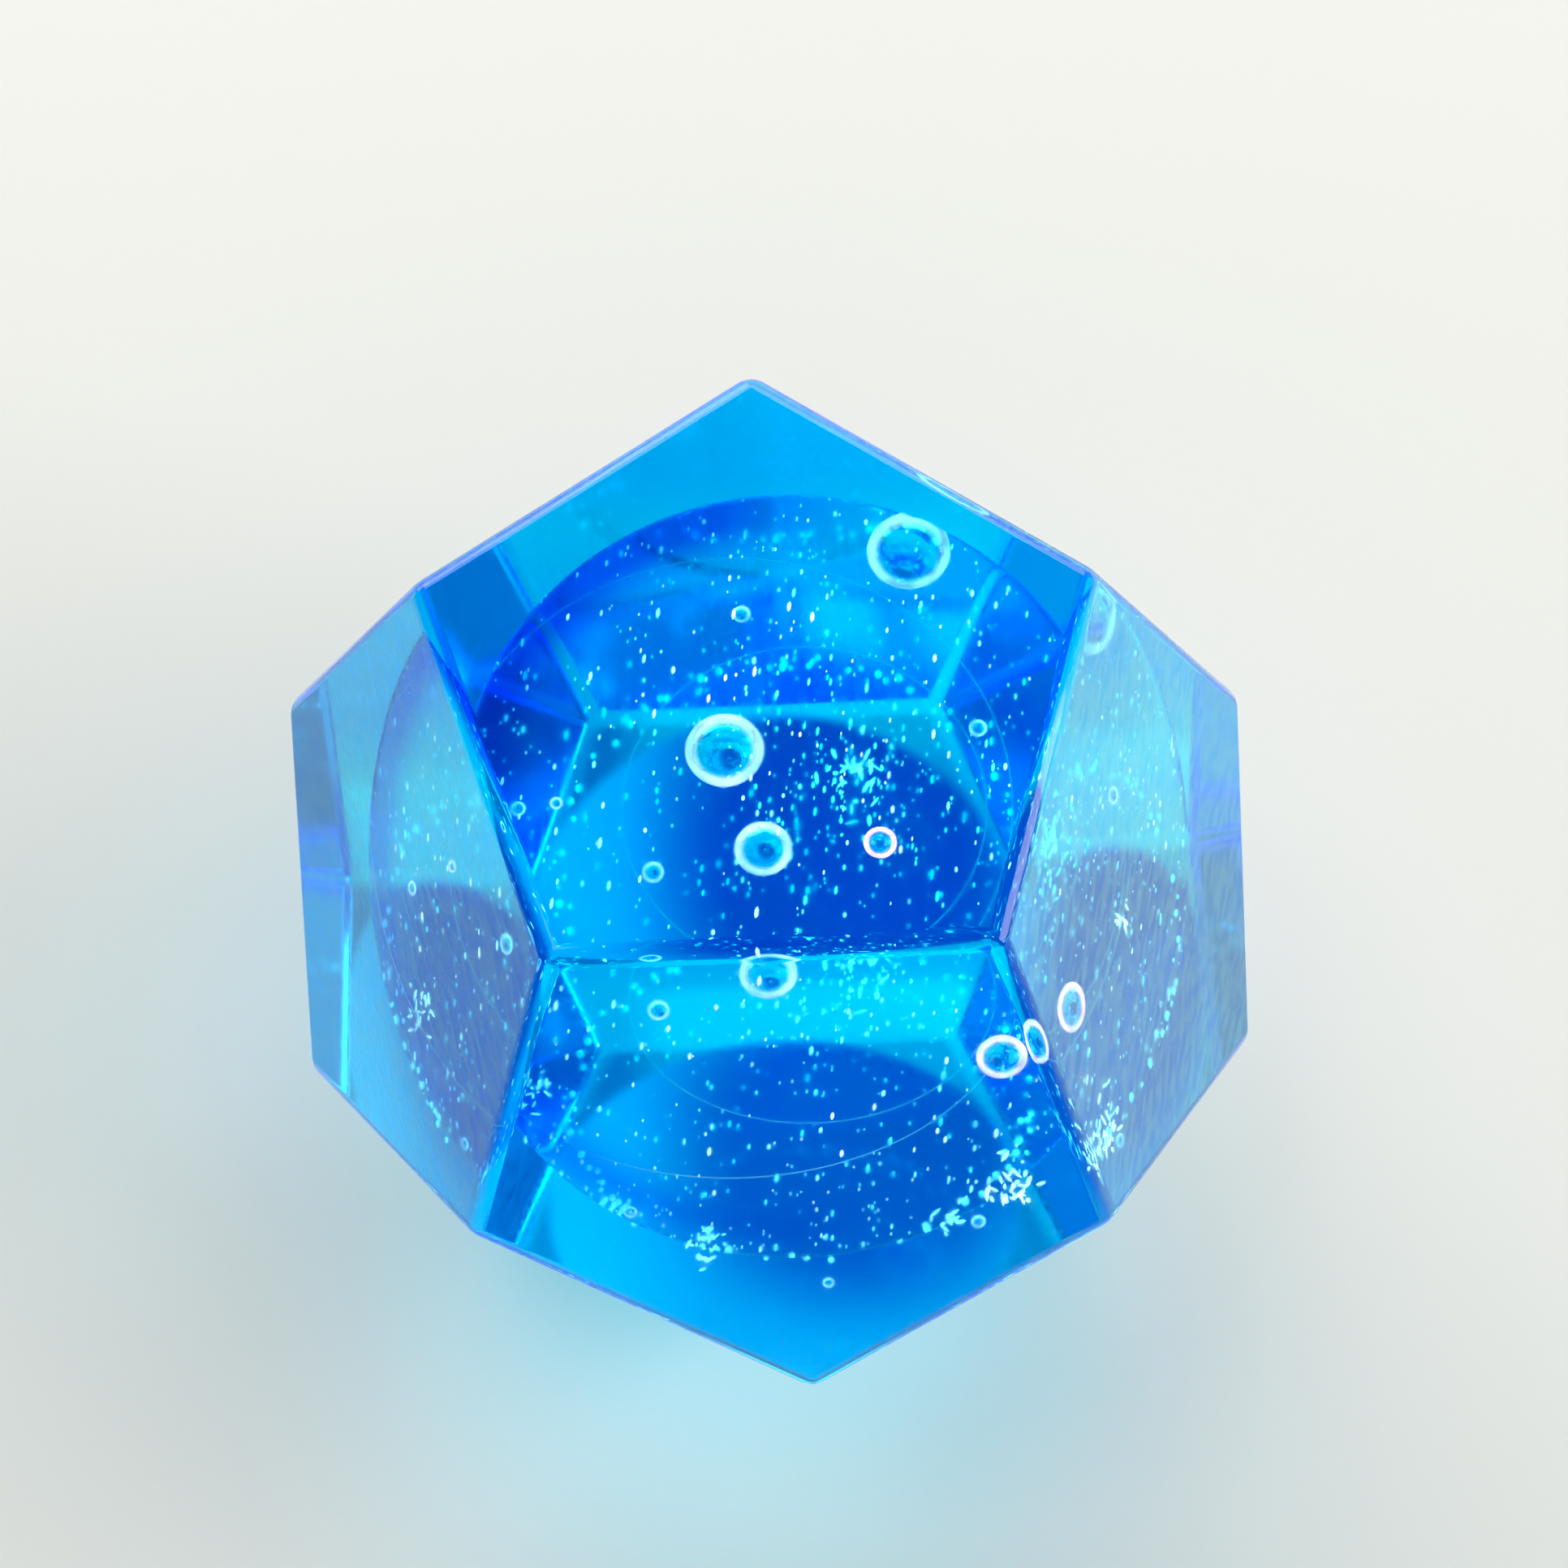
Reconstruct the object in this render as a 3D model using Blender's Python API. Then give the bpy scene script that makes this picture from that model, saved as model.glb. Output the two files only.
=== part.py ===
"""A transparent blue twelve-sided die, cast in two pours of resin around a ball-shaped core.

Metres, +Z up. The origin is the centre of the face that the die rests on. The die is a regular
dodecahedron whose faces were ground and polished by hand, so six of them are slightly off true.
"""

import math

import bmesh
import bpy
from mathutils import Vector

MM = 0.001

# Outer shape: distance between opposite faces, and the rounding that polishing leaves on the edges.
ACROSS_FLATS = 28.0 * MM
EDGE_ROUNDING = 0.45 * MM
EDGE_SEGMENTS = 4

# Core ball, and how far its centre lies from the die's own centre.
CORE_DIAMETER = 21.6 * MM
CORE_OFFSET = Vector((0.6, 0.4, 0.2)) * MM
CORE_SUBDIVISIONS = 5

# The first pour was left to set up to this height above the table, and the second one closed the mould.
POUR_LINE = 18.9 * MM
PARTING_GAP = 0.1 * MM

# Angle between neighbouring face normals of a regular dodecahedron.
FACE_TILT = math.atan(2)
FACES_IN_RING = 5
# The upper ring of five faces starts at the one that looks along -Y.
UPPER_RING_START = math.radians(-90)
LOWER_RING_START = UPPER_RING_START + math.pi / FACES_IN_RING

# How far each hand-polished face is off true: depth in mm, tilt and turn in degrees. The rings run
# counter-clockwise seen from above. A face that isn't named is true.
FACE_ERRORS = {
    "top": (-0.3, 1.0, 0.0),
    "upper_0": (0.3, 0.0, 0.0),
    "upper_2": (-0.2, 1.0, -2.0),
    "upper_3": (0.3, 0.0, -0.5),
    "upper_4": (0.1, 1.0, 0.5),
    "lower_4": (-0.4, -1.0, 1.0),
}
# The top face leans toward -Y, where a ring face turns about Z.
TOP_LEAN_HEADING = math.radians(-90)

INRADIUS = ACROSS_FLATS / 2
CENTRE = Vector((0.0, 0.0, INRADIUS))
CORE_CENTRE = CENTRE + CORE_OFFSET
BLOCK_SIZE = ACROSS_FLATS * 2

DEEP_BLUE = (0.0, 0.16, 0.85, 1.0)
CLEAR_BLUE = (0.02, 0.30, 0.95, 1.0)
CORE_BLUE = (0.0, 0.10, 0.70, 1.0)


def clear_scene():
    for obj in list(bpy.data.objects):
        bpy.data.objects.remove(obj, do_unlink=True)


def resin(name, colour, roughness):
    """A clear tinted resin."""
    material = bpy.data.materials.new(name)
    material.use_nodes = True
    shader = material.node_tree.nodes["Principled BSDF"]
    shader.inputs["Base Color"].default_value = colour
    shader.inputs["Roughness"].default_value = roughness
    shader.inputs["Metallic"].default_value = 0.0
    shader.inputs["Transmission Weight"].default_value = 1.0
    shader.inputs["IOR"].default_value = 1.5
    return material


def direction(tilt, heading):
    """The unit vector at this angle from +Z, turned to this heading about Z."""
    return Vector((
        math.sin(tilt) * math.cos(heading),
        math.sin(tilt) * math.sin(heading),
        math.cos(tilt),
    ))


def face_planes():
    """(point, outward normal) of the twelve faces as polished."""
    faces = {
        "bottom": (math.pi, 0.0),
        "top": (0.0, TOP_LEAN_HEADING),
    }
    for i in range(FACES_IN_RING):
        turn = 2 * math.pi * i / FACES_IN_RING
        faces[f"upper_{i}"] = (FACE_TILT, UPPER_RING_START + turn)
        faces[f"lower_{i}"] = (math.pi - FACE_TILT, LOWER_RING_START + turn)
    planes = []
    for name, (tilt, heading) in faces.items():
        depth, tilt_error, turn_error = FACE_ERRORS.get(name, (0.0, 0.0, 0.0))
        normal = direction(tilt + math.radians(tilt_error), heading + math.radians(turn_error))
        planes.append((CENTRE + normal * (INRADIUS + depth * MM), normal))
    return planes


def new_object(name, shape, material=None):
    """Puts a bmesh into the scene as an object with one material."""
    shape.normal_update()
    mesh = bpy.data.meshes.new(name)
    shape.to_mesh(mesh)
    shape.free()
    obj = bpy.data.objects.new(name, mesh)
    bpy.context.scene.collection.objects.link(obj)
    if material:
        mesh.materials.append(material)
    return obj


def ground_block():
    """A block of resin cut down to the die by one flat cut for each face."""
    shape = bmesh.new()
    bmesh.ops.create_cube(shape, size=BLOCK_SIZE)
    bmesh.ops.translate(shape, verts=shape.verts, vec=CENTRE)
    for point, normal in face_planes():
        cut = bmesh.ops.bisect_plane(
            shape,
            geom=shape.verts[:] + shape.edges[:] + shape.faces[:],
            plane_co=point,
            plane_no=normal,
            clear_outer=True,
        )
        rim = [part for part in cut["geom_cut"] if isinstance(part, bmesh.types.BMEdge)]
        bmesh.ops.contextual_create(shape, geom=rim)
    bmesh.ops.recalc_face_normals(shape, faces=shape.faces)
    return shape


def round_edges(obj):
    bevel = obj.modifiers.new("polished_edges", "BEVEL")
    bevel.limit_method = "NONE"
    bevel.width = EDGE_ROUNDING
    bevel.segments = EDGE_SEGMENTS


def cut_away(obj, cutter):
    boolean = obj.modifiers.new(f"less_{cutter.name}", "BOOLEAN")
    boolean.operation = "DIFFERENCE"
    boolean.solver = "EXACT"
    boolean.object = cutter


def as_cutter(obj):
    obj.hide_render = True
    obj.display_type = "WIRE"
    return obj


def sphere(radius):
    shape = bmesh.new()
    bmesh.ops.create_icosphere(shape, subdivisions=CORE_SUBDIVISIONS, radius=radius)
    for face in shape.faces:
        face.smooth = True
    return shape


def half_space(name, bottom, top):
    """A box wider than the die that fills the heights between bottom and top."""
    shape = bmesh.new()
    bmesh.ops.create_cube(shape, size=1.0)
    bmesh.ops.scale(shape, verts=shape.verts, vec=(BLOCK_SIZE, BLOCK_SIZE, top - bottom))
    obj = as_cutter(new_object(name, shape))
    obj.location.z = (bottom + top) / 2
    return obj


def core_ball():
    obj = new_object("core_ball", sphere(CORE_DIAMETER / 2), resin("core_resin", CORE_BLUE, 0.05))
    obj.location = CORE_CENTRE
    return obj


def core_seat():
    """The hollow that the core ball leaves in the resin around it."""
    obj = as_cutter(new_object("core_seat", sphere(CORE_DIAMETER / 2 + PARTING_GAP)))
    obj.location = CORE_CENTRE
    return obj


def pour(name, colour, other_pour, seat):
    """One of the two castings: the whole die, less the other casting's share and the core's seat."""
    obj = new_object(name, ground_block(), resin(f"{name}_resin", colour, 0.03))
    round_edges(obj)
    cut_away(obj, other_pour)
    cut_away(obj, seat)
    return obj


def main():
    clear_scene()
    seat = core_seat()
    above = half_space("above_pour_line", POUR_LINE - PARTING_GAP / 2, BLOCK_SIZE)
    below = half_space("below_pour_line", -BLOCK_SIZE, POUR_LINE + PARTING_GAP / 2)
    pour("lower_pour", DEEP_BLUE, above, seat)
    pour("upper_pour", CLEAR_BLUE, below, seat)
    core_ball()


main()
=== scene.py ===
"""Looks of the blank blue resin die: one clear block with a ball of air bubbles in it.

Lengths are in metres, and MM turns millimetres into metres. The die stands on z = 0.
"""

import math

import bmesh
import bpy
import numpy as np
from mathutils import Euler, Matrix, Vector


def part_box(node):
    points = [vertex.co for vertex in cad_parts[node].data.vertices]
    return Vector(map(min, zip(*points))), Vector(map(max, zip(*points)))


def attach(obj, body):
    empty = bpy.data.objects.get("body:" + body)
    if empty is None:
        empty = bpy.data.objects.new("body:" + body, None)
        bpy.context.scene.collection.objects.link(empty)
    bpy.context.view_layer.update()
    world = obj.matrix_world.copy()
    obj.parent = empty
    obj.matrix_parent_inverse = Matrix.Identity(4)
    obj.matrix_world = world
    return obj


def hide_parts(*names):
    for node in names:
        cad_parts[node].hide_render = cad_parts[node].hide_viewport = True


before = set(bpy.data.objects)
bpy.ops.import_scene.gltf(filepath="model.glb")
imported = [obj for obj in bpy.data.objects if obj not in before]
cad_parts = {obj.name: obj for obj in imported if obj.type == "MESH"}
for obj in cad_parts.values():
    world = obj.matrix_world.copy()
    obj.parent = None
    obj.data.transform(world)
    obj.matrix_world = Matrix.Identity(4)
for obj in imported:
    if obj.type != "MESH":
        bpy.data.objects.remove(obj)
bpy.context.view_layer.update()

MM = 0.001
WHITE = (1.0, 1.0, 1.0, 1.0)

# The block: its rounded edges, and how its flat faces are found and cut.
EDGE_ROUNDING = 0.48 * MM
EDGE_SEGMENTS = 6
FLAT_FACES = 12
FLAT_ANGLE = math.radians(0.5)
BLANK_SIZE = 0.1

# The die's centre, and the ball that holds the bubbles.
DIE_CENTRE = Vector((0.0, 0.0, 14.0)) * MM
core_low, core_high = (Vector(corner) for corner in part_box("core_ball"))
CORE_CENTRE = (core_low + core_high) / 2
CORE_RADIUS = (core_high.x - core_low.x) / 2
CORE_DETAIL = 5

# The resin: a blue that deepens with the length of the light's path, and a weak glow that stands
# for the light it scatters.
RESIN_INDEX = 1.5
RESIN_GLOW_COLOUR = (0.0, 0.12, 1.0, 1.0)
RESIN_GLOW = 0.07
RESIN_TINT = (0.0, 0.93, 1.0, 1.0)
RESIN_DENSITY = 230.0

# Polish marks, drawn out along Y: the roughness from one end of NOISE_RANGE to the other.
POLISH_STRETCH = (4000.0, 300.0, 4000.0)
POLISH_HAZE = (0.05, 0.11)
NOISE_RANGE = (0.35, 0.65)

# A milky painted sheen, for scuff marks and light reflected off faces seen half edge on: where it
# starts and ends, and its share of the surface.
SCUFF_SHEEN_COLOUR = (0.45, 0.8, 0.45, 1.0)
SHEEN_RANGE = (0.3, 0.5)
SHEEN_END = (0.6, 0.85)
SHEEN_MOST = 0.2
SHEEN_LEFT = 0.15
SHEEN_UNEVEN = (0.7, 1.3)

# The core's skin: a blue edge on its upper left, where it is seen edge on.
CORE_INDEX = 1.008
CORE_EDGE_TINT = (0.1, 0.22, 0.86)
CORE_EDGE_RANGE = (0.3, 0.6)
CORE_RIM_RANGE = (0.8, 1.0)
CORE_RIM_SHARE = 0.2
CORE_EDGE_X = (-2.0 * MM, 4.0 * MM)
CORE_EDGE_Z = (DIE_CENTRE.z - 6.0 * MM, DIE_CENTRE.z)

# Air: the bright rim of a big bubble, a painted reflection that glows, and the white of air too
# fine to see through, with a painted highlight glow.
RIM_RANGE = (0.2, 0.42)
RIM_GLOW = (2.4, 5.5)
RIM_GLOW_COLOUR = (1.0, 0.2, 0.18, 1.0)
AIR_NOISE_SCALE = 900.0
AIR_ROUGHNESS = 0.25
AIR_TONES = ((0.75, 0.9, 1.0), (1.0, 1.0, 1.0))
AIR_GLOW_COLOUR = (1.0, 0.5, 0.46, 1.0)
# Glow of the fine air and the froth: painted highlights for the light they glint back.
FINE_GLOW = 2.4
FROTH_GLOW = 3.6

# Bubbles big enough to tell apart: place from the die's centre in mm, then width and height in mm.
BIG_BUBBLES = (
    (-1.4, 0.4, 5.0, 2.5, 2.3),
    (-0.3, -3.0, 4.6, 1.8, 1.7),
    (-3.8, -3.1, 2.9, 0.7, 0.7),
    (6.8, -7.2, 4.6, 1.6, 1.5),
    (5.0, 8.7, 2.2, 2.8, 2.3),
    (3.2, -4.7, 9.8, 1.0, 1.0),
    (6.9, 2.2, 1.2, 0.6, 0.6),
    (-0.7, 6.2, 3.0, 0.6, 0.6),
    (-8.2, 0.1, 0.7, 0.5, 0.5),
    (-6.8, -0.9, 4.0, 0.4, 0.4),
    (-5.2, -6.7, -4.7, 0.45, 0.45),
    (6.4, -7.6, -5.2, 0.5, 0.5),
    (1.3, -9.3, -6.6, 0.4, 0.4),
)
SMOOTHER_OVER = 1.2

# Fine bubbles: how many, the shares that lie at the core's skin and in one cloud, and their sizes.
FINE_BUBBLES = 1150
FINE_SHELL_SHARE = 0.3
FINE_SHELL_DEPTH = 0.06
FINE_CLOUD_SHARE = 0.15
FINE_WIDTHS = (0.05, 0.15)
FINE_STRETCH = (1.5, 3.2)
FINE_LEAN = Vector((0.2, 0.9, 0.35)).normalized()
CLOUD_PLACE = Vector((2.8, 0.8, 0.2)) * MM
CLOUD_SPREAD = 2.0 * MM
CLOUD_EDGE = 2.5 * CLOUD_SPREAD

# A level ring of bubbles low on the core's skin, with its height from the core's centre.
RING_BUBBLES = 90
RING_HEIGHT = -7.4 * MM
RING_SPREAD = 0.15 * MM
RING_WIDTHS = (0.14, 0.32)
RING_STRETCH = 1.2

# White flakes of trapped froth: place from the die's centre in mm, spread in mm, number of flakes.
FLAKE_CLUMPS = (
    (2.8, 0.8, 0.2, 1.0, 38),
    (7.1, -9.3, -0.9, 0.7, 34),
    (-8.3, -3.8, -0.8, 0.6, 26),
    (-2.8, -8.0, -5.7, 0.6, 24),
    (5.4, -7.4, -5.0, 0.4, 14),
    (8.6, -3.0, 2.0, 0.4, 12),
)
FLAKE_SQUASH = (0.6, 0.9, 0.6)
FLAKE_LEAN = 1.2
FLAKE_WIDTHS = (0.07, 0.16)
FLAKE_LENGTHS = (0.15, 0.6)
SEED = 12

# Faint level rings left where one layer of resin met the next: centre from the die's centre in mm,
# then radius in mm.
LEVEL_RINGS = ((-1.3, 0.4, 0.0, 9.2), (1.1, 0.4, -1.0, 6.0))
LEVEL_RING_WIRE = 0.016 * MM
LEVEL_RING_STEPS = 160
LEVEL_RING_SIDES = 6
# The rings' glow is painted light: the seam catching light where it is seen at a slant.
LEVEL_RING_GLOW = 0.45

# The table: pale paint, just under the die.
TABLE_SIZE = 1.5
TABLE_DROP = 0.02 * MM
TABLE_ROUGHNESS = 0.6
TABLE_PAINT = (0.84, 0.84, 0.79)

# Under the die the table is in blue shade, off centre, with light that comes down through the resin
# round it.
FOOTPRINT = (8.3 * MM, 8.9 * MM)
SHADE_CENTRE = (2.6 * MM, 3.0 * MM)
SHADE_SQUASH = 0.75
SHADE_RADIUS = 4.0 * MM
SHADE_FADE = 4.4 * MM
SHADE_PAINT = (0.02, 0.24, 0.8)
LIT_PAINT = (0.3, 0.9, 1.0)
CAUSTIC_GLOW = 0.5
CAUSTIC_GLOW_X = (-8.0 * MM, -2.0 * MM)
CAUSTIC_RIGHT_SHARE = 0.4

# Behind the die a strip of light, then a blue shadow beyond it.
BACK_START = (4.0 * MM, 8.0 * MM)
BACK_GLOW_COLOUR = (0.6, 1.0, 0.6)
BACK_GLOW = 0.36
BACK_GLOW_END = (10.3 * MM, 11.0 * MM)
BACK_GLOW_LEFT = (-6.0 * MM, -3.5 * MM)
BACK_GLOW_OUT = (12.0 * MM, 15.0 * MM)
BACK_SHADE_PAINT = (0.5, 0.6, 0.82)
BACK_SHADE_START = (10.8 * MM, 12.4 * MM)
BACK_SHADE_END = (14.5 * MM, 18.5 * MM)

# In front of the die, a wide cyan patch of light.
FRONT_GLOW_COLOUR = (0.35, 0.95, 1.0)
FRONT_GLOW = 0.24
FRONT_GLOW_CENTRE = (-3.0 * MM, -10.0 * MM)
FRONT_GLOW_REACH = 19.0 * MM

# The sky: light from low to high, and from left to right.
SKY_COLOUR = (1.0, 1.0, 0.98, 1.0)
CEILING_RANGE = (0.6, 0.85)
CEILING_LIGHT = (0.97, 0.48)
SIDE_RANGE = (-0.6, 0.2)
SIDE_LIGHT = (0.25, 0.82)

# Parts of the sky that differ: direction, light there against the rest, and reach in degrees.
SKY_PATCHES = (
    ((-0.32, -0.35, 0.87), 0.15, 32.0),
    ((0.64, -0.77, 0.08), 0.25, 35.0),
    ((-0.64, -0.77, 0.08), 2.6, 35.0),
)
PATCH_CORE = 0.4

# Soft boxes that face the die: name, place, width and height in metres, power in watts.
WINDOWS = (
    ("window_right", (0.5, -0.05, 0.2), 0.4, 0.3, 1.7),
    ("window_back", (0.0, 0.5, 0.38), 0.8, 0.3, 2.0),
    ("window_top_left", (-0.18, 0.01, 0.465), 0.17, 0.17, 0.17),
    ("window_back_left", (-0.26, 0.45, 0.19), 0.5, 0.2, 0.9),
)

# The camera stands above the near upper face and looks down on the die.
CAMERA_PLACE = Vector((-0.29, -39.95, 92.05)) * MM
CAMERA_TURN = Euler((math.radians(29.21), math.radians(0.69), math.radians(-2.3)), "XYZ")
CAMERA_LENS = 57.96
CAMERA_SENSOR = 36.0
CAMERA_CLIP = (0.005, 10.0)

# Light turns many times inside the block. The black level keeps the last red out of the deep blue.
MOST_BOUNCES = 32
DIFFUSE_BOUNCES = 8
BLACK_LEVEL = (0.04, 0.01, 0.0)


def set_inputs(node, values):
    for name, value in values.items():
        node.inputs[name].default_value = value


def math_node(tree, operation, first, second):
    node = tree.nodes.new("ShaderNodeMath")
    node.operation = operation
    for socket, value in zip(node.inputs, (first, second)):
        if isinstance(value, (int, float)):
            socket.default_value = value
        else:
            tree.links.new(value, socket)
    return node.outputs["Value"]


def product(tree, first, *others):
    for other in others:
        first = math_node(tree, "MULTIPLY", first, other)
    return first


def map_range(tree, value, low, high, to_low=0.0, to_high=1.0):
    node = tree.nodes.new("ShaderNodeMapRange")
    node.interpolation_type = "SMOOTHSTEP"
    ends = {"From Min": low, "From Max": high, "To Min": to_low, "To Max": to_high}
    set_inputs(node, ends)
    tree.links.new(value, node.inputs["Value"])
    return node.outputs["Result"]


def mix_colours(tree, factor, first, second):
    node = tree.nodes.new("ShaderNodeMix")
    node.data_type = "RGBA"
    tree.links.new(factor, node.inputs["Factor"])
    for name, value in (("A", first), ("B", second)):
        socket = [i for i in node.inputs if i.name == name and i.type == "RGBA"][0]
        if isinstance(value, tuple):
            socket.default_value = (*value, 1.0)
        else:
            tree.links.new(value, socket)
    return [o for o in node.outputs if o.type == "RGBA"][0]


def distance_from(tree, x, y, centre_x, centre_y):
    dx = math_node(tree, "SUBTRACT", x, centre_x)
    dy = math_node(tree, "SUBTRACT", y, centre_y)
    square = math_node(tree, "ADD", product(tree, dx, dx), product(tree, dy, dy))
    return math_node(tree, "SQRT", square, 0.0)


def new_material(name):
    """A new material, its node tree and the tree's Principled shader."""
    material = bpy.data.materials.new(name)
    material.use_nodes = True
    tree = material.node_tree
    return material, tree, tree.nodes["Principled BSDF"]


def own_place(tree, stretch=None):
    """The place on the piece in metres, stretched by a factor along each axis."""
    place = tree.nodes.new("ShaderNodeTexCoord").outputs["Object"]
    if stretch is None:
        return place
    mapping = tree.nodes.new("ShaderNodeMapping")
    mapping.inputs["Scale"].default_value = stretch
    tree.links.new(place, mapping.inputs["Vector"])
    return mapping.outputs["Vector"]


def split_axes(tree, vector):
    split = tree.nodes.new("ShaderNodeSeparateXYZ")
    tree.links.new(vector, split.inputs["Vector"])
    return split.outputs["X"], split.outputs["Y"], split.outputs["Z"]


def noise_at(tree, place, scale, detail=2.0):
    noise = tree.nodes.new("ShaderNodeTexNoise")
    set_inputs(noise, {"Scale": scale, "Detail": detail})
    tree.links.new(place, noise.inputs["Vector"])
    return noise.outputs["Fac"]


def edge_on(tree):
    """0 where a surface faces the eye, and 1 where it is seen edge on."""
    return tree.nodes.new("ShaderNodeLayerWeight").outputs["Facing"]


def front_side(tree):
    """1 on a surface's outer side, and 0 on its inner side."""
    geometry = tree.nodes.new("ShaderNodeNewGeometry")
    return math_node(tree, "SUBTRACT", 1.0, geometry.outputs["Backfacing"])


def new_object(name, mesh, material):
    mesh.materials.append(material)
    piece = bpy.data.objects.new(name, mesh)
    bpy.context.scene.collection.objects.link(piece)
    return piece


def new_piece(name, shape, material):
    mesh = bpy.data.meshes.new(name)
    shape.to_mesh(mesh)
    shape.free()
    return new_object(name, mesh, material)


def mesh_piece(name, points, faces, material):
    mesh = bpy.data.meshes.new(name)
    mesh.from_pydata(points, [], faces)
    mesh.shade_smooth()
    return new_object(name, mesh, material)


def shade_smooth(shape):
    for face in shape.faces:
        face.smooth = True


def largest_faces(shape):
    by_area = sorted(shape.faces, key=lambda face: face.calc_area(), reverse=True)
    return by_area[:FLAT_FACES]


def node_points(name):
    return [v.co.copy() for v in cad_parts[name].data.vertices]


def outer_planes():
    """(point, outward normal) of each flat face of the CAD die, from the hull of its two pours."""
    hull = bmesh.new()
    for point in node_points("lower_pour") + node_points("upper_pour"):
        hull.verts.new(point)
    made = bmesh.ops.convex_hull(hull, input=hull.verts)
    inside = {part for key in ("geom_interior", "geom_unused") for part in made[key]}
    inside_verts = [part for part in inside if isinstance(part, bmesh.types.BMVert)]
    bmesh.ops.delete(hull, geom=inside_verts, context="VERTS")
    bmesh.ops.recalc_face_normals(hull, faces=hull.faces)
    bmesh.ops.dissolve_limit(hull, angle_limit=FLAT_ANGLE, verts=hull.verts, edges=hull.edges)
    planes = [(face.calc_center_median(), face.normal.copy()) for face in largest_faces(hull)]
    hull.free()
    return planes


def cut_block(planes):
    """A block cut down to the solid behind all the planes."""
    shape = bmesh.new()
    bmesh.ops.create_cube(shape, size=BLANK_SIZE)
    for point, normal in planes:
        geometry = shape.verts[:] + shape.edges[:] + shape.faces[:]
        cut = bmesh.ops.bisect_plane(
            shape, geom=geometry, plane_co=point, plane_no=normal, clear_outer=True
        )
        rim = [part for part in cut["geom_cut"] if isinstance(part, bmesh.types.BMEdge)]
        bmesh.ops.contextual_create(shape, geom=rim)
    bmesh.ops.recalc_face_normals(shape, faces=shape.faces)
    return shape


def resin_material():
    """Clear blue resin with polish marks and a painted milky sheen on faces seen half edge on."""
    material, tree, shader = new_material("blue_resin")
    set_inputs(shader, {
        "Base Color": WHITE,
        "Transmission Weight": 1.0,
        "IOR": RESIN_INDEX,
        "Emission Color": RESIN_GLOW_COLOUR,
        "Emission Strength": RESIN_GLOW,
    })
    marks = noise_at(tree, own_place(tree, POLISH_STRETCH), 1.0, 3.0)
    haze = map_range(tree, marks, *NOISE_RANGE, *POLISH_HAZE)
    tree.links.new(haze, shader.inputs["Roughness"])

    facing = edge_on(tree)
    start = map_range(tree, facing, *SHEEN_RANGE, 0.0, SHEEN_MOST)
    end = map_range(tree, facing, *SHEEN_END, 1.0, SHEEN_LEFT)
    uneven = map_range(tree, marks, *NOISE_RANGE, *SHEEN_UNEVEN)
    # Whitish diffuse mixed in by view angle: painted sheen, partly scuff marks, partly slant
    # reflection.
    scuff_sheen = tree.nodes.new("ShaderNodeBsdfDiffuse")
    scuff_sheen.inputs["Color"].default_value = SCUFF_SHEEN_COLOUR
    both = tree.nodes.new("ShaderNodeMixShader")
    tree.links.new(product(tree, start, end, front_side(tree), uneven), both.inputs["Fac"])
    tree.links.new(shader.outputs["BSDF"], both.inputs[1])
    tree.links.new(scuff_sheen.outputs["BSDF"], both.inputs[2])

    tint = tree.nodes.new("ShaderNodeVolumeAbsorption")
    set_inputs(tint, {"Color": RESIN_TINT, "Density": RESIN_DENSITY})
    output = tree.nodes["Material Output"]
    tree.links.new(both.outputs["Shader"], output.inputs["Surface"])
    tree.links.new(tint.outputs["Volume"], output.inputs["Volume"])
    return material


def resin_body():
    """The whole block. Its flat faces keep their own normals, so they stay flat to the light."""
    shape = cut_block(outer_planes())
    bmesh.ops.bevel(
        shape, geom=shape.edges[:], offset=EDGE_ROUNDING, segments=EDGE_SEGMENTS, profile=0.5,
        affect="EDGES", clamp_overlap=True,
    )
    shade_smooth(shape)
    flats = {}
    for face in largest_faces(shape):
        for vert in face.verts:
            flats[vert.index] = face.normal.copy()
    shape.verts.ensure_lookup_table()
    shape.normal_update()
    normals = [tuple(flats.get(v.index, v.normal)) for v in shape.verts]
    piece = new_piece("resin_body", shape, resin_material())
    piece.data.normals_split_custom_set_from_vertices(normals)
    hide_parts("lower_pour", "upper_pour")
    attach(piece, "root")


def core_skin_material():
    material, tree, shader = new_material("core_skin")
    set_inputs(shader, {"Roughness": 0.0, "Transmission Weight": 1.0, "IOR": CORE_INDEX})
    facing = edge_on(tree)
    x, _, z = split_axes(tree, own_place(tree))
    edge = map_range(tree, facing, *CORE_EDGE_RANGE)
    rim = map_range(tree, facing, *CORE_RIM_RANGE, 1.0, CORE_RIM_SHARE)
    left = map_range(tree, x, *CORE_EDGE_X, 1.0, 0.0)
    high = map_range(tree, z, *CORE_EDGE_Z)
    # Bluer only on the upper left, where the skin is seen edge on.
    tint_share = product(tree, product(tree, edge, rim), product(tree, left, high))
    tone = mix_colours(tree, tint_share, WHITE[:3], CORE_EDGE_TINT)
    tree.links.new(tone, shader.inputs["Base Color"])
    return material


def core_boundary():
    """The skin between the core and the resin round it, which shows where it is seen edge on."""
    shape = bmesh.new()
    bmesh.ops.create_icosphere(
        shape, subdivisions=CORE_DETAIL, radius=CORE_RADIUS, matrix=Matrix.Translation(CORE_CENTRE)
    )
    shade_smooth(shape)
    piece = new_piece("core_boundary", shape, core_skin_material())
    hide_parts("core_ball")
    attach(piece, "root")


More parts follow.
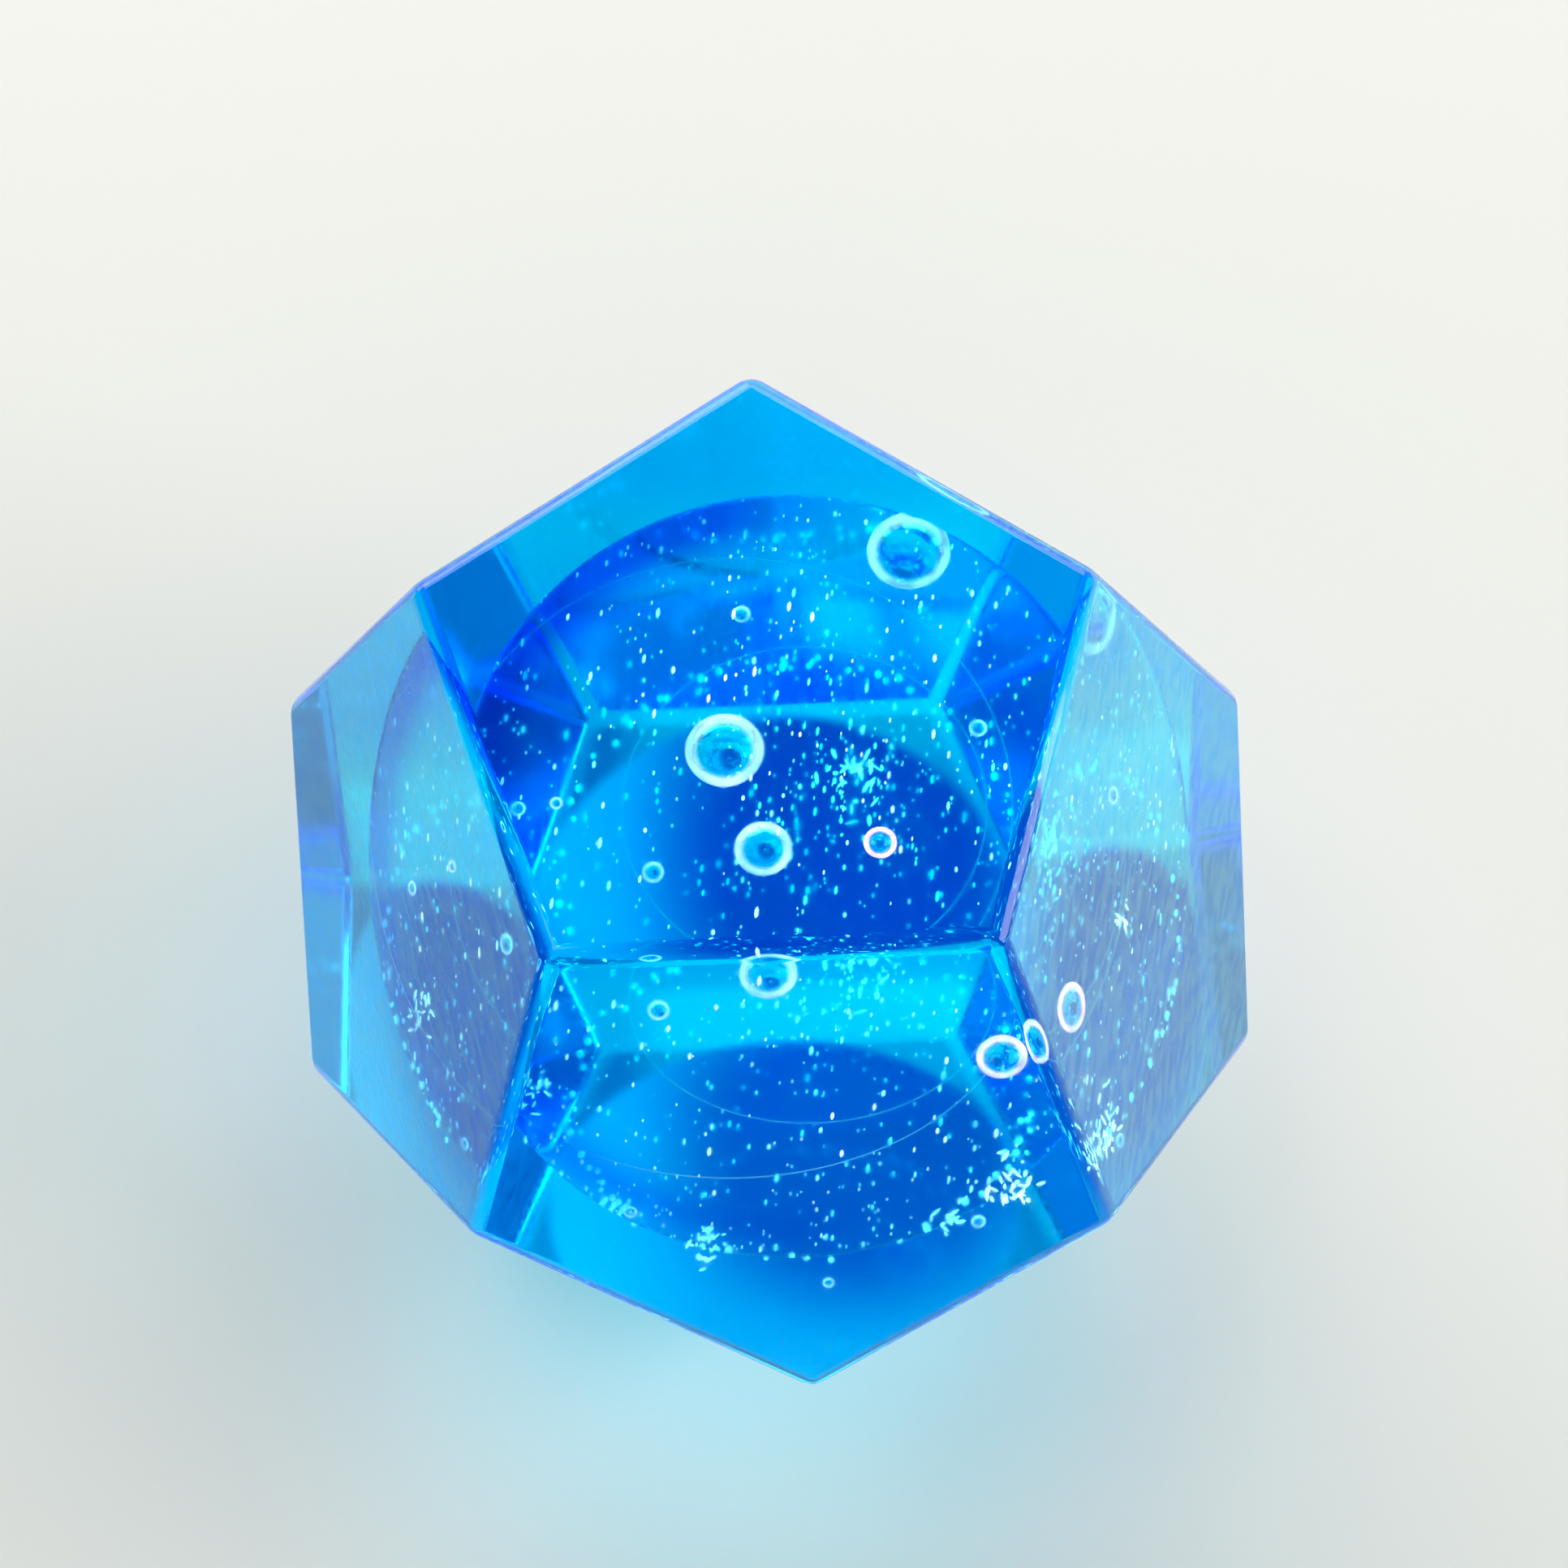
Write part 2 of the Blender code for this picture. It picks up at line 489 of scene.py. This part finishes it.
def bubble_material():
    """The wall of an air bubble in the resin. Its rim, where light can't get in, glows white:
    painted reflection.
    """
    material, tree, shader = new_material("bubble_wall")
    set_inputs(shader, {
        "Base Color": WHITE,
        "Roughness": 0.0,
        "Transmission Weight": 1.0,
        "IOR": 1.0 / RESIN_INDEX,
        "Emission Color": RIM_GLOW_COLOUR,
    })
    # The rim's glow is a painted reflection: emission where the wall is seen edge on.
    rim = map_range(tree, edge_on(tree), *RIM_RANGE)
    noise = noise_at(tree, own_place(tree), AIR_NOISE_SCALE)
    glow = map_range(tree, noise, *NOISE_RANGE, *RIM_GLOW)
    tree.links.new(product(tree, rim, front_side(tree), glow), shader.inputs["Emission Strength"])
    return material


def big_bubbles():
    shape = bmesh.new()
    for x, y, z, width, height in BIG_BUBBLES:
        detail = 4 if width > SMOOTHER_OVER else 3
        size = Vector((width, width, height)) * MM / 2
        place = Matrix.LocRotScale(DIE_CENTRE + Vector((x, y, z)) * MM, None, size)
        bmesh.ops.create_icosphere(shape, subdivisions=detail, radius=1.0, matrix=place)
    shade_smooth(shape)
    piece = new_piece("big_bubbles", shape, bubble_material())
    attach(piece, "root")


def air_white(name, glow):
    """Air too fine to see through: it scatters light, glows a little as a painted highlight, and
    its tone varies.
    """
    material, tree, shader = new_material(name)
    set_inputs(shader, {
        "Roughness": AIR_ROUGHNESS,
        "Emission Color": AIR_GLOW_COLOUR,
        "Emission Strength": glow,
    })
    noise = noise_at(tree, own_place(tree), AIR_NOISE_SCALE)
    tree.links.new(mix_colours(tree, noise, *AIR_TONES), shader.inputs["Base Color"])
    return material


def blobs(name, places, axes, widths, lengths, material):
    """Small stretched balls, one for each place, all in one piece."""
    ball = bmesh.new()
    bmesh.ops.create_icosphere(ball, subdivisions=1, radius=0.5)
    ball.verts.ensure_lookup_table()
    corners = np.array([v.co for v in ball.verts])
    faces = np.array([[v.index for v in face.verts] for face in ball.faces])
    ball.free()
    points, triangles = [], []
    for place, axis, width, length in zip(places, axes, widths, lengths):
        turn = np.array(Vector(axis).to_track_quat("Z", "Y").to_matrix())
        points.append(corners * (width, width, length) @ turn.T + place)
        triangles.append(faces + len(corners) * (len(points) - 1))
    all_points = np.concatenate(points).tolist()
    piece = mesh_piece(name, all_points, np.concatenate(triangles).tolist(), material)
    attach(piece, "root")


def fine_bubbles(draw):
    """Fine bubbles in the core, thicker at its skin and in one cloud, and a ring low on it."""
    way = draw.normal(size=(FINE_BUBBLES, 3))
    way /= np.linalg.norm(way, axis=1)[:, None]
    reach = CORE_RADIUS * draw.random(FINE_BUBBLES) ** (1 / 3)
    pick = draw.random(FINE_BUBBLES)
    shell = pick < FINE_SHELL_SHARE
    reach[shell] = CORE_RADIUS * (1 - FINE_SHELL_DEPTH * draw.random(shell.sum()))
    places = np.array(CORE_CENTRE) + way * reach[:, None]
    cloud = pick > 1 - FINE_CLOUD_SHARE
    drift = draw.normal(size=(cloud.sum(), 3)) * CLOUD_SPREAD
    places[cloud] = np.array(DIE_CENTRE + CLOUD_PLACE) + np.clip(drift, -CLOUD_EDGE, CLOUD_EDGE)

    heading = draw.random(RING_BUBBLES) * 2 * math.pi
    ring_radius = math.sqrt(CORE_RADIUS ** 2 - RING_HEIGHT ** 2)
    level = np.full(RING_BUBBLES, RING_HEIGHT)
    ring = np.stack([ring_radius * np.cos(heading), ring_radius * np.sin(heading), level], 1)
    ring += draw.normal(size=ring.shape) * RING_SPREAD
    places = np.concatenate([places, ring + np.array(CORE_CENTRE)])

    count = len(places)
    low, high = FINE_WIDTHS
    widths = (low + (high - low) * draw.random(count) ** 3) * MM
    lengths = widths * draw.uniform(*FINE_STRETCH, count)
    widths[-RING_BUBBLES:] = draw.uniform(*RING_WIDTHS, RING_BUBBLES) * MM
    lengths[-RING_BUBBLES:] = widths[-RING_BUBBLES:] * RING_STRETCH
    material = air_white("fine_air", FINE_GLOW)
    blobs("fine_bubbles", places, [FINE_LEAN] * count, widths, lengths, material)


def froth_flakes(draw):
    places, axes, widths, lengths = [], [], [], []
    for x, y, z, spread, count in FLAKE_CLUMPS:
        middle = np.array(DIE_CENTRE + Vector((x, y, z)) * MM)
        for _ in range(count):
            places.append(middle + draw.normal(size=3) * spread * MM * FLAKE_SQUASH)
            axes.append(draw.normal(size=3) + np.array(FINE_LEAN) * FLAKE_LEAN)
            widths.append(draw.uniform(*FLAKE_WIDTHS) * MM)
            lengths.append(draw.uniform(*FLAKE_LENGTHS) * MM)
    blobs("froth_flakes", places, axes, widths, lengths, air_white("froth", FROTH_GLOW))


def level_rings():
    """Thin closed rings of wire, each lying level."""
    points, faces = [], []
    for x, y, z, radius in LEVEL_RINGS:
        first = len(points)
        centre = DIE_CENTRE + Vector((x, y, z)) * MM
        for i in range(LEVEL_RING_STEPS):
            turn = 2 * math.pi * i / LEVEL_RING_STEPS
            here, after = i * LEVEL_RING_SIDES, (i + 1) % LEVEL_RING_STEPS * LEVEL_RING_SIDES
            for j in range(LEVEL_RING_SIDES):
                tip = 2 * math.pi * j / LEVEL_RING_SIDES
                reach = radius * MM + LEVEL_RING_WIRE * math.cos(tip)
                rise = LEVEL_RING_WIRE * math.sin(tip)
                point = Vector((reach * math.cos(turn), reach * math.sin(turn), rise))
                points.append(centre + point)
                k = (j + 1) % LEVEL_RING_SIDES
                faces.append([first + n for n in (here + j, after + j, after + k, here + k)])
    piece = mesh_piece("level_rings", points, faces, air_white("ring_line", LEVEL_RING_GLOW))
    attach(piece, "root")


def table_material():
    """Pale paint, tinted where light and shade come through the die."""
    material, tree, shader = new_material("pale_table")
    shader.inputs["Roughness"].default_value = TABLE_ROUGHNESS
    x, y, _ = split_axes(tree, own_place(tree))
    reach = distance_from(tree, x, y, 0.0, 0.0)
    outside = map_range(tree, reach, *FOOTPRINT)
    behind = map_range(tree, y, *BACK_START)

    shade_x, shade_y = SHADE_CENTRE
    squashed = product(tree, y, SHADE_SQUASH)
    from_shade = distance_from(tree, x, squashed, shade_x, shade_y * SHADE_SQUASH)
    lit = map_range(tree, from_shade, SHADE_RADIUS, SHADE_RADIUS + SHADE_FADE)
    inside = math_node(tree, "SUBTRACT", 1.0, outside)
    right_glow = CAUSTIC_RIGHT_SHARE * CAUSTIC_GLOW
    by_side = map_range(tree, x, *CAUSTIC_GLOW_X, CAUSTIC_GLOW, right_glow)
    caustic = product(tree, lit, inside, by_side)

    back = product(
        tree,
        map_range(tree, y, *BACK_GLOW_END, BACK_GLOW, 0.0),
        map_range(tree, x, *BACK_GLOW_LEFT),
        behind,
        map_range(tree, reach, *BACK_GLOW_OUT, 1.0, 0.0),
    )
    from_front = distance_from(tree, x, y, *FRONT_GLOW_CENTRE)
    front = map_range(tree, from_front, 0.0, FRONT_GLOW_REACH, FRONT_GLOW, 0.0)
    around = product(tree, math_node(tree, "ADD", back, front), outside)
    glow = math_node(tree, "ADD", caustic, around)
    tree.links.new(glow, shader.inputs["Emission Strength"])
    backness = product(tree, outside, behind)
    glow_colour = mix_colours(tree, backness, FRONT_GLOW_COLOUR, BACK_GLOW_COLOUR)
    tree.links.new(glow_colour, shader.inputs["Emission Color"])

    shadow_end = map_range(tree, reach, *BACK_SHADE_END, 1.0, 0.0)
    shadow = product(tree, map_range(tree, y, *BACK_SHADE_START), shadow_end)
    paint = mix_colours(tree, shadow, TABLE_PAINT, BACK_SHADE_PAINT)
    under = mix_colours(tree, lit, SHADE_PAINT, LIT_PAINT)
    tree.links.new(mix_colours(tree, outside, under, paint), shader.inputs["Base Color"])
    return material


def floor():
    shape = bmesh.new()
    bmesh.ops.create_grid(shape, x_segments=1, y_segments=1, size=TABLE_SIZE)
    table = new_piece("table", shape, table_material())
    table.location.z = -TABLE_DROP


def studio_sky():
    """A soft light from the walls all round, under a dim ceiling, dimmer on the left."""
    world = bpy.data.worlds.new("studio")
    bpy.context.scene.world = world
    world.use_nodes = True
    tree = world.node_tree
    background = tree.nodes["Background"]
    background.inputs["Color"].default_value = SKY_COLOUR
    direction = tree.nodes.new("ShaderNodeTexCoord").outputs["Generated"]
    x, _, z = split_axes(tree, direction)
    ceiling = map_range(tree, z, *CEILING_RANGE, *CEILING_LIGHT)
    side = map_range(tree, x, *SIDE_RANGE, *SIDE_LIGHT)
    light = product(tree, ceiling, side)
    for way, against_rest, spread in SKY_PATCHES:
        toward = tree.nodes.new("ShaderNodeVectorMath")
        toward.operation = "DOT_PRODUCT"
        toward.inputs[1].default_value = Vector(way).normalized()
        tree.links.new(direction, toward.inputs[0])
        edge = math.cos(math.radians(spread))
        core = math.cos(math.radians(spread * PATCH_CORE))
        patch = map_range(tree, toward.outputs["Value"], edge, core, 1.0, against_rest)
        light = product(tree, light, patch)
    tree.links.new(light, background.inputs["Strength"])


def window(name, place, width, height, power):
    lamp = bpy.data.lights.new(name, "AREA")
    lamp.shape = "RECTANGLE"
    lamp.size = width
    lamp.size_y = height
    lamp.energy = power
    holder = bpy.data.objects.new(name, lamp)
    holder.location = place
    holder.rotation_euler = Vector(place).to_track_quat("Z", "Y").to_euler()
    holder.visible_camera = False
    bpy.context.scene.collection.objects.link(holder)


def camera():
    data = bpy.data.cameras.new("camera")
    data.lens = CAMERA_LENS
    data.sensor_width = CAMERA_SENSOR
    data.clip_start, data.clip_end = CAMERA_CLIP
    holder = bpy.data.objects.new("camera", data)
    holder.location = CAMERA_PLACE
    holder.rotation_euler = CAMERA_TURN
    bpy.context.scene.collection.objects.link(holder)
    bpy.context.scene.camera = holder


def light_paths_and_tone():
    scene = bpy.context.scene
    scene.view_settings.view_transform = "Standard"
    scene.view_settings.use_curve_mapping = True
    scene.view_settings.curve_mapping.black_level = BLACK_LEVEL
    scene.cycles.max_bounces = MOST_BOUNCES
    scene.cycles.transmission_bounces = MOST_BOUNCES
    scene.cycles.glossy_bounces = MOST_BOUNCES
    scene.cycles.diffuse_bounces = DIFFUSE_BOUNCES


resin_body()
core_boundary()
big_bubbles()
draw = np.random.default_rng(SEED)
fine_bubbles(draw)
froth_flakes(draw)
level_rings()
floor()
studio_sky()
for box in WINDOWS:
    window(*box)
camera()
light_paths_and_tone()
